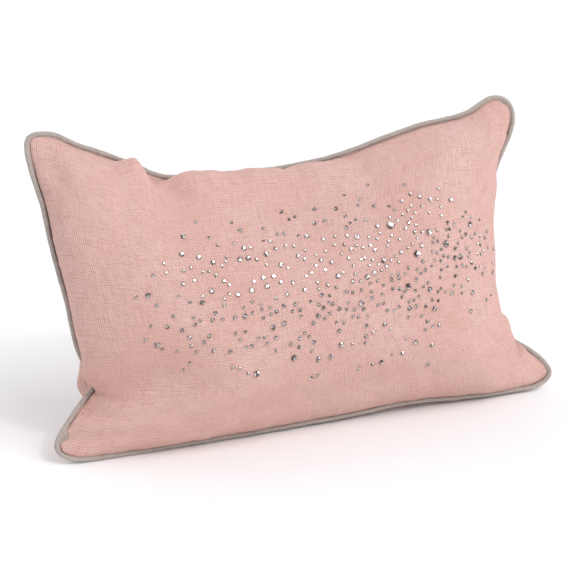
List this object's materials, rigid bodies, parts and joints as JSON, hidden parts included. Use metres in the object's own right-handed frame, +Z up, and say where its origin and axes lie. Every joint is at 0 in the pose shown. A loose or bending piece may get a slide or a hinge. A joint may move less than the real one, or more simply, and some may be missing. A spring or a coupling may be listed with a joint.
{
  "type": "lumbar scatter cushion",
  "caption": "Rectangular piped scatter cushion with rounded corners, heat-set crystals on its front, a zipped back and a fibre-filled pad inside.",
  "frame": {"origin": "middle of the overall footprint, on the surface that the cushion stands on", "axes": "+X along the long edges, to the right seen from the front; -Y out of the front panel; +Z up. The cushion stands on its lower long edge and leans back towards +Y."},
  "size_m": [0.4926, 0.1384, 0.2792],
  "materials": {
    "cover_cloth": "plain-woven slub cotton and linen, blush pink, matt",
    "piping_cloth": "bias-cut plain weave, warm grey with a slight sheen",
    "filler_cord": "laid cotton filler cord, natural",
    "pad_cloth": "plain white cotton cambric",
    "pad_fibre": "hollow polyester fibre",
    "zip_tape": "twill-woven polyester zip tape, dyed blush",
    "zip_teeth": "nylon monofilament coil, dyed blush",
    "zip_metal": "die-cast zinc, nickel plated, satin",
    "label_cloth": "satin ribbon, white and blank",
    "crystal": "faceted lead-free crystal, foil backed"
  },
  "bodies": {
    "cushion": {"back_panel_lower": "cover_cloth", "back_panel_upper": "cover_cloth", "bottom_stop": "zip_metal", "care_label": "label_cloth", "crystal_01": "crystal", "crystal_02": "crystal", "crystal_03": "crystal", "crystal_04": "crystal", "crystal_05": "crystal", "crystal_06": "crystal", "crystal_07": "crystal", "crystal_08": "crystal", "crystal_09": "crystal", "crystal_10": "crystal", "crystal_11": "crystal", "crystal_12": "crystal", "crystal_13": "crystal", "crystal_14": "crystal", "crystal_15": "crystal", "crystal_16": "crystal", "crystal_17": "crystal", "crystal_18": "crystal", "crystal_19": "crystal", "crystal_20": "crystal", "crystal_21": "crystal", "crystal_22": "crystal", "crystal_23": "crystal", "crystal_24": "crystal", "crystal_25": "crystal", "crystal_26": "crystal", "crystal_27": "crystal", "crystal_28": "crystal", "crystal_29": "crystal", "crystal_30": "crystal", "crystal_31": "crystal", "crystal_32": "crystal", "crystal_33": "crystal", "crystal_34": "crystal", "crystal_35": "crystal", "crystal_36": "crystal", "fibre_fill": "pad_fibre", "front_panel": "cover_cloth", "insert_case_back": "pad_cloth", "insert_case_front": "pad_cloth", "piping_casing": "piping_cloth", "piping_cord": "filler_cord", "top_stop_lower": "zip_metal", "top_stop_upper": "zip_metal", "zip_coil_lower": "zip_teeth", "zip_coil_upper": "zip_teeth", "zip_tape_lower": "zip_tape", "zip_tape_upper": "zip_tape"},
    "zip_slider": {"zip_slider": "zip_metal"},
    "zip_pull": {"zip_pull": "zip_metal"}
  },
  "joints": [
    {"name": "zip_slide", "type": "slide", "parent": "cushion", "child": "zip_slider", "axis": [-1, 0, 0], "range_m": [0, 0.279]},
    {"name": "pull_swing", "type": "hinge", "parent": "zip_slider", "child": "zip_pull", "pos_m": [0.1397, 0.06743, 0.06664], "axis": [0, -0.0863, -0.9963], "range_deg": [0, 175]}
  ]
}
